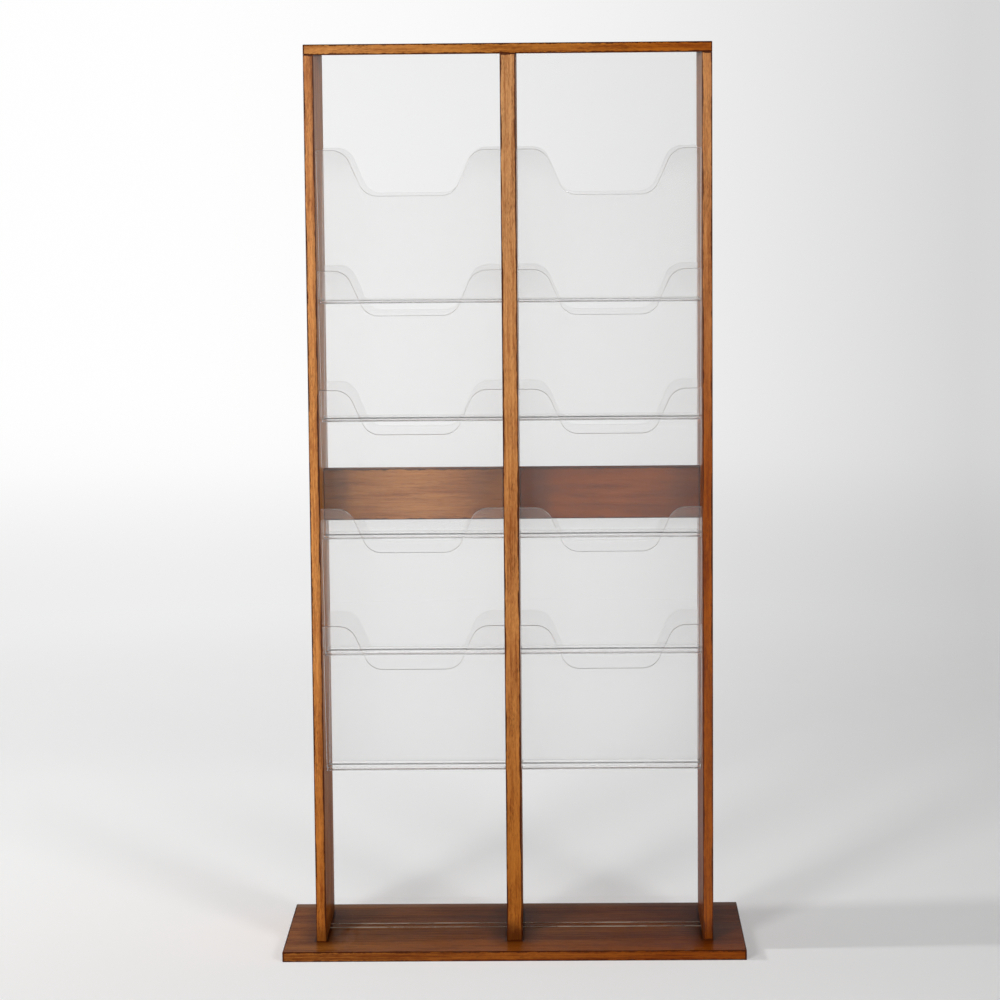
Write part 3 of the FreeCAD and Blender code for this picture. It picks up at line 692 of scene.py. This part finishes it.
@dataclass
class ClearBays:
    """The clear sheets and the stacks of bent pockets on both their faces."""

    count: int = 5
    pitch: float = 209 * MM
    rise: float = 269.5 * MM
    floor: float = 26 * MM
    mouth: float = 77 * MM
    wall: float = 3 * MM
    bend: float = 6 * MM
    bend_steps: int = 8
    hair: float = 0.05 * MM
    polish: float = 0.4 * MM
    polish_steps: int = 2
    cut_angle: float = math.radians(50)
    lip_band: float = 60 * MM
    wall_rows: tuple[float, ...] = (0.4, 0.75, 0.82, 0.88, 0.94, 1.0)
    notch: Notch = field(default_factory=Notch)

    def build(self) -> None:
        """Builds the sheets and the pockets."""
        acrylic = AcrylicFinish().build()
        bent = AcrylicFinish("bent_acrylic", clarity=0.98).build()
        rim = AcrylicFinish("cut_acrylic_rim", tint=(0.8, 0.8, 0.8), lip_shade_tone=(0.75, 0.75, 0.75),
                            roughness=0.6).build()
        stack = Stack().build()
        for side in ("left", "right"):
            for face in ("front", "rear"):
                self.build_sheet(f"{face}_{side}", acrylic)
                self.build_pockets(face, side, [bent, rim], stack)

    def build_sheet(self, where: str, acrylic: bpy.types.Material) -> None:
        """Builds one clear sheet, a hair smaller than its CAD node so that no faces coincide.

        Args:
            where: the sheet's face and side.
            acrylic: its material.
        """
        node = f"{where}_sheet"
        low, high = (Vector(corner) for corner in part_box(node))
        shape = bmesh.new()
        bmesh.ops.create_cube(shape, size=1.0)
        size = high - low - Vector.Fill(3, 2 * self.hair)
        bmesh.ops.transform(shape, verts=shape.verts,
                            matrix=Matrix.LocRotScale((low + high) / 2, None, size))
        piece = add_piece(f"clear_{node}", shape)
        self.polish_edges(piece)
        piece.data.materials.append(acrylic)
        as_mesh(piece)
        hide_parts(node)
        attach(piece, BODY)
        log.info("sheet %s", node)

    def polish_edges(self, piece: bpy.types.Object) -> None:
        """Rounds a clear piece's cut edges as polishing does."""
        bevel = piece.modifiers.new("polished_edges", "BEVEL")
        bevel.width = self.polish
        bevel.segments = self.polish_steps
        bevel.limit_method = "ANGLE"
        bevel.angle_limit = self.cut_angle

    def build_pockets(self, face: str, side: str, finishes: list[bpy.types.Material],
                      stack: bpy.types.NodeTree) -> None:
        """Builds one stack of pockets.

        Args:
            face: front or rear.
            side: left or right.
            finishes: the materials of the pockets' walls and of their cut rims.
            stack: the tree that repeats a pocket upwards.
        """
        nodes = [f"{face}_{side}_pocket_{number}" for number in range(1, self.count + 1)]
        low, high = (Vector(corner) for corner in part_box(nodes[0]))
        sheet_face = high.y if face == "front" else low.y
        shape = self.bent_sheet((high.x - low.x) / 2 - self.hair)
        turn = 0 if face == "front" else math.pi
        place = Matrix.Translation(((low.x + high.x) / 2, sheet_face, low.z)) @ Matrix.Rotation(turn, 4, "Z")
        bmesh.ops.transform(shape, verts=shape.verts, matrix=place)
        piece = add_piece(f"{face}_{side}_pockets", shape)
        for finish in finishes:
            piece.data.materials.append(finish)

        thicken = piece.modifiers.new("wall", "SOLIDIFY")
        thicken.thickness = self.wall
        thicken.offset = -1
        thicken.use_even_offset = True
        thicken.material_offset_rim = 1
        self.polish_edges(piece)
        copies = piece.modifiers.new("stack", "NODES")
        copies.node_group = stack
        set_inputs(copies, {"Count": self.count, "Pitch": self.pitch,
                            "Wall": finishes[0], "Rim": finishes[1]})
        as_mesh(piece)
        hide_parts(*nodes)
        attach(piece, BODY)
        log.info("pockets %s %s", face, side)

    def bent_sheet(self, half_width: float) -> bmesh.types.BMesh:
        """The outer surface of one pocket, bent from a flat sheet and cut to its notched lip.

        Args:
            half_width: half of the pocket's width.

        Returns:
            An open surface whose floor starts at Y = 0 on the clear sheet, with its outside below.
        """
        lean = math.atan2(self.mouth - self.floor, self.rise)
        turn = math.pi / 2 - lean
        start = -self.floor + self.bend * math.tan(turn / 2)
        turns = [turn * step / self.bend_steps for step in range(self.bend_steps + 1)]
        section = [(-self.hair, 0.0)]
        section += [(start - self.bend * math.sin(angle), self.bend * (1 - math.cos(angle)))
                    for angle in turns]
        shape = bmesh.new()
        near_lip = shape.verts.layers.float.new(LIP)
        columns = []
        for x, drop in self.notch.outline(half_width):
            top = self.rise + drop
            heights = [section[-1][1] + (top - section[-1][1]) * share for share in self.wall_rows]
            wall = [(-self.floor - math.tan(lean) * height, height) for height in heights]
            columns.append([shape.verts.new((x, y, z)) for y, z in section + wall])
            for point in columns[-1]:
                point[near_lip] = max(0.0, 1.0 - (self.rise - point.co.z) / self.lip_band)
        for left, right in zip(columns, columns[1:]):
            for row in range(len(left) - 1):
                shape.faces.new((left[row], right[row], right[row + 1], left[row + 1]))
        return shape


@dataclass
class CementBeads:
    """Thin beads of cement, at the foot of each clear sheet and on the ends of each pocket's floor, where
    the near-white ones also stand in for painted glints.
    """

    bays: tuple[tuple[str, str, str], ...] = (("left", "left_upright", "centre_upright"),
                                              ("right", "centre_upright", "right_upright"))
    count: int = 5
    foot_size: float = 1.2 * MM
    end_size: float = 2.6 * MM
    wall: float = 3 * MM
    inset: float = 3 * MM
    length: float = 19 * MM
    gap: float = 0.03 * MM
    steps: int = 4

    def build(self) -> None:
        """Builds the beads as two pieces."""
        feet, ends = bmesh.new(), bmesh.new()
        for side, left_board, right_board in self.bays:
            left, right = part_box(left_board)[1][0] + self.gap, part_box(right_board)[0][0] - self.gap
            for face, way in (("front", -1), ("rear", 1)):
                self.add_foot_beads(feet, f"{face}_{side}_sheet")
                for number in range(1, self.count + 1):
                    self.add_end_beads(ends, f"{face}_{side}_pocket_{number}", way, left, right)
        # painted glints: the beads on the pocket floors' ends are near white so that they show as small
        # bright sparkles
        white = CementFinish("white_cement", (0.6, 0.58, 0.55), (0.9, 0.88, 0.85))
        self.finish_piece("foot_cement", feet, CementFinish())
        self.finish_piece("pocket_cement", ends, white)

    def add_foot_beads(self, shape: bmesh.types.BMesh, node: str) -> None:
        """Adds a bead along each side of a sheet's foot, on the base plate."""
        low, high = (Vector(corner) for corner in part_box(node))
        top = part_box("base_plate")[1][2] + self.gap
        for y, way in ((low.y - self.gap, -1), (high.y + self.gap, 1)):
            self.add_bead(shape, Vector((low.x, y, top)), Vector((high.x, y, top)), Vector((0, way, 0)),
                          self.foot_size)

    def add_end_beads(self, shape: bmesh.types.BMesh, node: str, way: int, left: float,
                      right: float) -> None:
        """Adds a bead on each end of a pocket's floor, against the uprights.

        Args:
            shape: what the beads are added to.
            node: the pocket.
            way: -1 for a front pocket and 1 for a rear one.
            left: X of the upright's face at the pocket's left end.
            right: X of the upright's face at its right end.
        """
        low, high = (Vector(corner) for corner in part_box(node))
        near = (high.y if way < 0 else low.y) + way * self.inset
        far, floor = near + way * self.length, low.z + self.wall + self.gap
        for x, inwards in ((left, 1), (right, -1)):
            self.add_bead(shape, Vector((x, near, floor)), Vector((x, far, floor)), Vector((inwards, 0, 0)),
                          self.end_size)

    def add_bead(self, shape: bmesh.types.BMesh, start: Vector, end: Vector, out: Vector,
                 size: float) -> None:
        """Adds one bead with a hollowed outer side, in the corner of a level and an upright face.

        Args:
            shape: what the bead is added to.
            start: the corner at the bead's first end.
            end: the corner at its other end.
            out: the direction away from the upright face.
            size: how far the bead reaches along both faces.
        """
        turns = [math.pi / 2 * step / self.steps for step in range(self.steps + 1)]
        up = Vector((0, 0, 1))
        section = [Vector((0, 0, 0))] + [size * ((1 - math.sin(turn)) * out + (1 - math.cos(turn)) * up)
                                         for turn in turns]
        rings = [[shape.verts.new(place + point) for point in section] for place in (start, end)]
        for ring in rings:
            shape.faces.new(ring)
        for place in range(len(section)):
            after = (place + 1) % len(section)
            shape.faces.new((rings[0][place], rings[0][after], rings[1][after], rings[1][place]))

    def finish_piece(self, name: str, shape: bmesh.types.BMesh, finish: CementFinish) -> None:
        """Turns the beads into a dressed piece that rides on the rack."""
        bmesh.ops.recalc_face_normals(shape, faces=shape.faces)
        piece = add_piece(name, shape)
        piece.data.materials.append(finish.build())
        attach(piece, BODY)
        log.info("beads %s", name)


# ---------------------------------------------------------------------------------------------
# The studio
# ---------------------------------------------------------------------------------------------


@dataclass(frozen=True)
class Lamp:
    """A soft square lamp: its side in metres and its power in watts."""

    name: str
    place: tuple[float, float, float]
    size: float
    power: float


@dataclass
class Studio:
    """A pale round cove, two soft lamps in front, a smaller one at the left and an even fill from above."""

    floor_shade: tuple[float, float, float] = (0.82, 0.82, 0.82)
    near_shade: tuple[float, float, float] = (0.7, 0.7, 0.7)
    world_shade: tuple[float, float, float] = (0.12, 0.12, 0.12)
    floor_radius: float = 7.6
    cove: float = 2.0
    height: float = 6.0
    sectors: int = 96
    cove_steps: int = 16
    lamps: tuple[Lamp, ...] = (Lamp("key", (-2.9, -6.0, 2.4), 1.2, 242),
                               Lamp("second", (2.2, -3.9, 2.3), 1.0, 78),
                               Lamp("side", (-4.8, -0.35, 2.6), 0.4, 130))
    aim: tuple[float, float, float] = (0.0, 0.0, 0.8)
    paper_glow: float = 0.22
    rear_glows: tuple[tuple[float, float, float], ...] = ((0.12, -0.6, 0.8), (0.06, 0.5, 1.5),
                                                          (0.035, 1.5, 2.6))
    far_glow: float = 0.35
    wall_glow: float = 0.13
    middle_glow: float = 0.045
    side_slope: float = 1.6
    side_bow: float = 7.4
    side_limit: float = 0.11
    side_distance: float = 7.8
    room_shade: float = 0.92

    def build(self) -> None:
        """Builds the cove, the lamps and the world."""
        self.build_cove()
        for lamp in self.lamps:
            self.add_lamp(lamp)
        self.build_world()
        log.info("studio")

    def build_cove(self) -> None:
        """Builds the floor and the wall around it as one curved sheet."""
        turns = [math.pi / 2 * step / self.cove_steps for step in range(self.cove_steps + 1)]
        section = [(self.floor_radius * share, 0.0) for share in (0.25, 0.5, 0.75)]
        section += [(self.floor_radius + self.cove * math.sin(turn), self.cove * (1 - math.cos(turn)))
                    for turn in turns]
        section.append((self.floor_radius + self.cove, self.height))
        shape = bmesh.new()
        middle = shape.verts.new((0, 0, 0))
        rays = []
        for sector in range(self.sectors):
            turn = math.tau * sector / self.sectors
            rays.append([shape.verts.new((reach * math.cos(turn), reach * math.sin(turn), z))
                         for reach, z in section])
        for left, right in zip(rays, rays[1:] + rays[:1]):
            shape.faces.new((middle, left[0], right[0]))
            for row in range(len(section) - 1):
                shape.faces.new((left[row], left[row + 1], right[row + 1], right[row]))
        cove = add_piece("backdrop", shape)
        for face in cove.data.polygons:
            face.use_smooth = True
        cove.data.materials.append(self.backdrop_paper())

    def backdrop_paper(self) -> bpy.types.Material:
        """Pale paper that looks evenly bright and still takes the rack's shadow.

        Returns:
            The material. The camera, gloss and glass see lamplit paper near the rack, and its own glow
            around it.
        """
        material, graph = new_material("backdrop_paper")
        place = graph.node("ShaderNodeTexCoord").outputs["Object"]
        split = graph.node("ShaderNodeSeparateXYZ", Vector=place).outputs
        x, y, z = (Wire(graph, output) for output in split)
        reach = graph.maths("SQRT", x * x + y * y)
        far = graph.smooth(reach, 2.0, 4.0)
        level = self.paper_glow
        for gain, start, end in self.rear_glows:
            level = level + gain * graph.smooth(y, start, end)
        level = level + self.far_glow * far + self.wall_glow * graph.smooth(reach + z, 4.0, 9.0)
        aside = graph.maths("MINIMUM", x / (reach + self.side_distance), self.side_limit)
        aside = graph.maths("MAXIMUM", aside, -self.side_limit)
        mirrors = Wire(graph, graph.node("ShaderNodeLightPath").outputs["Glossy Depth"])
        behind_camera = graph.smooth(y, -4.7, -5.8)
        room = 1.0 - self.room_shade * graph.maths("MINIMUM", mirrors, 1.0) * behind_camera
        middle = graph.smooth(graph.maths("ABSOLUTE", aside), 0.055, 0.02)
        behind = graph.smooth(y, 0.9, 2.5) * graph.smooth(y, 6.5, 4.5)
        sides = 1.0 - self.side_slope * aside - self.side_bow * aside * aside
        light = level * room * sides + self.middle_glow * middle * behind
        near = 1.0 - far
        seen_shade = graph.blend(near, rgba((0.0, 0.0, 0.0)), rgba(self.near_shade))
        lamplit = graph.node("ShaderNodeBsdfDiffuse", Color=seen_shade)
        glow = graph.node("ShaderNodeEmission", Color=graph.vector(light, light, light), Strength=1.0)
        seen = graph.node("ShaderNodeAddShader", i0=lamplit.outputs[0], i1=glow.outputs[0])
        paper = graph.node("ShaderNodeBsdfDiffuse", Color=rgba(self.floor_shade))
        mixed = graph.node("ShaderNodeMixShader", i0=looked_at(graph), i1=paper.outputs[0],
                           i2=seen.outputs[0])
        graph.node("ShaderNodeOutputMaterial", Surface=mixed.outputs[0])
        return material

    def add_lamp(self, lamp: Lamp) -> None:
        """Adds a lamp that points at the rack's middle and isn't seen itself."""
        data = bpy.data.lights.new(lamp.name, "AREA")
        data.size = lamp.size
        data.energy = lamp.power
        piece = bpy.data.objects.new(lamp.name, data)
        bpy.context.scene.collection.objects.link(piece)
        piece.visible_camera = False
        piece.location = lamp.place
        piece.rotation_euler = (Vector(self.aim) - Vector(lamp.place)).to_track_quat("-Z", "Y").to_euler()

    def build_world(self) -> None:
        """Lights the scene evenly from above the cove."""
        world = bpy.data.worlds.new("studio")
        bpy.context.scene.world = world
        world.use_nodes = True
        graph = Graph(world.node_tree)
        sky = graph.node("ShaderNodeBackground", Color=rgba(self.world_shade), Strength=1.0)
        graph.node("ShaderNodeOutputWorld", Surface=sky.outputs[0])


@dataclass
class Viewpoint:
    """The camera, in front of the rack and a little to the right of its middle, just under its top rail."""

    place: Vector = field(default_factory=lambda: Vector((0.0760, -6.1759, 1.5679)))
    yaw: float = -0.0157
    pitch: float = 0.1246
    roll: float = -0.0088
    lens: float = 126.0
    sensor: float = 36.0
    sight: float = 100.0

    def build(self) -> None:
        """Builds the camera."""
        data = bpy.data.cameras.new("camera")
        data.sensor_fit = "HORIZONTAL"
        data.sensor_width = self.sensor
        data.lens = self.lens
        data.clip_end = self.sight
        camera = bpy.data.objects.new("camera", data)
        bpy.context.scene.collection.objects.link(camera)
        level = Vector((math.sin(self.yaw), math.cos(self.yaw), 0))
        ahead = math.cos(self.pitch) * level - Vector((0, 0, math.sin(self.pitch)))
        right = Vector((math.cos(self.yaw), -math.sin(self.yaw), 0))
        above = right.cross(ahead)
        rolled_right = math.cos(self.roll) * right + math.sin(self.roll) * above
        rolled_above = math.cos(self.roll) * above - math.sin(self.roll) * right
        turn = Matrix((rolled_right, rolled_above, -ahead)).transposed().to_4x4()
        camera.matrix_world = Matrix.Translation(self.place) @ turn
        bpy.context.scene.camera = camera
        log.info("camera")


def main() -> None:
    """Builds the rack's looks, the studio and the camera."""
    logging.basicConfig(level=logging.INFO, format="%(name)s: %(message)s")
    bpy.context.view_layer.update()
    scene = bpy.context.scene
    scene.view_settings.view_transform = "Standard"
    scene.cycles.max_bounces = LIGHT_BOUNCES
    scene.cycles.transmission_bounces = LIGHT_BOUNCES
    scene.cycles.transparent_max_bounces = LIGHT_BOUNCES
    Viewpoint().build()
    WoodFrame().build()
    ClearBays().build()
    CementBeads().build()
    Fasteners().build()
    Studio().build()


if __name__ == "__main__":
    main()
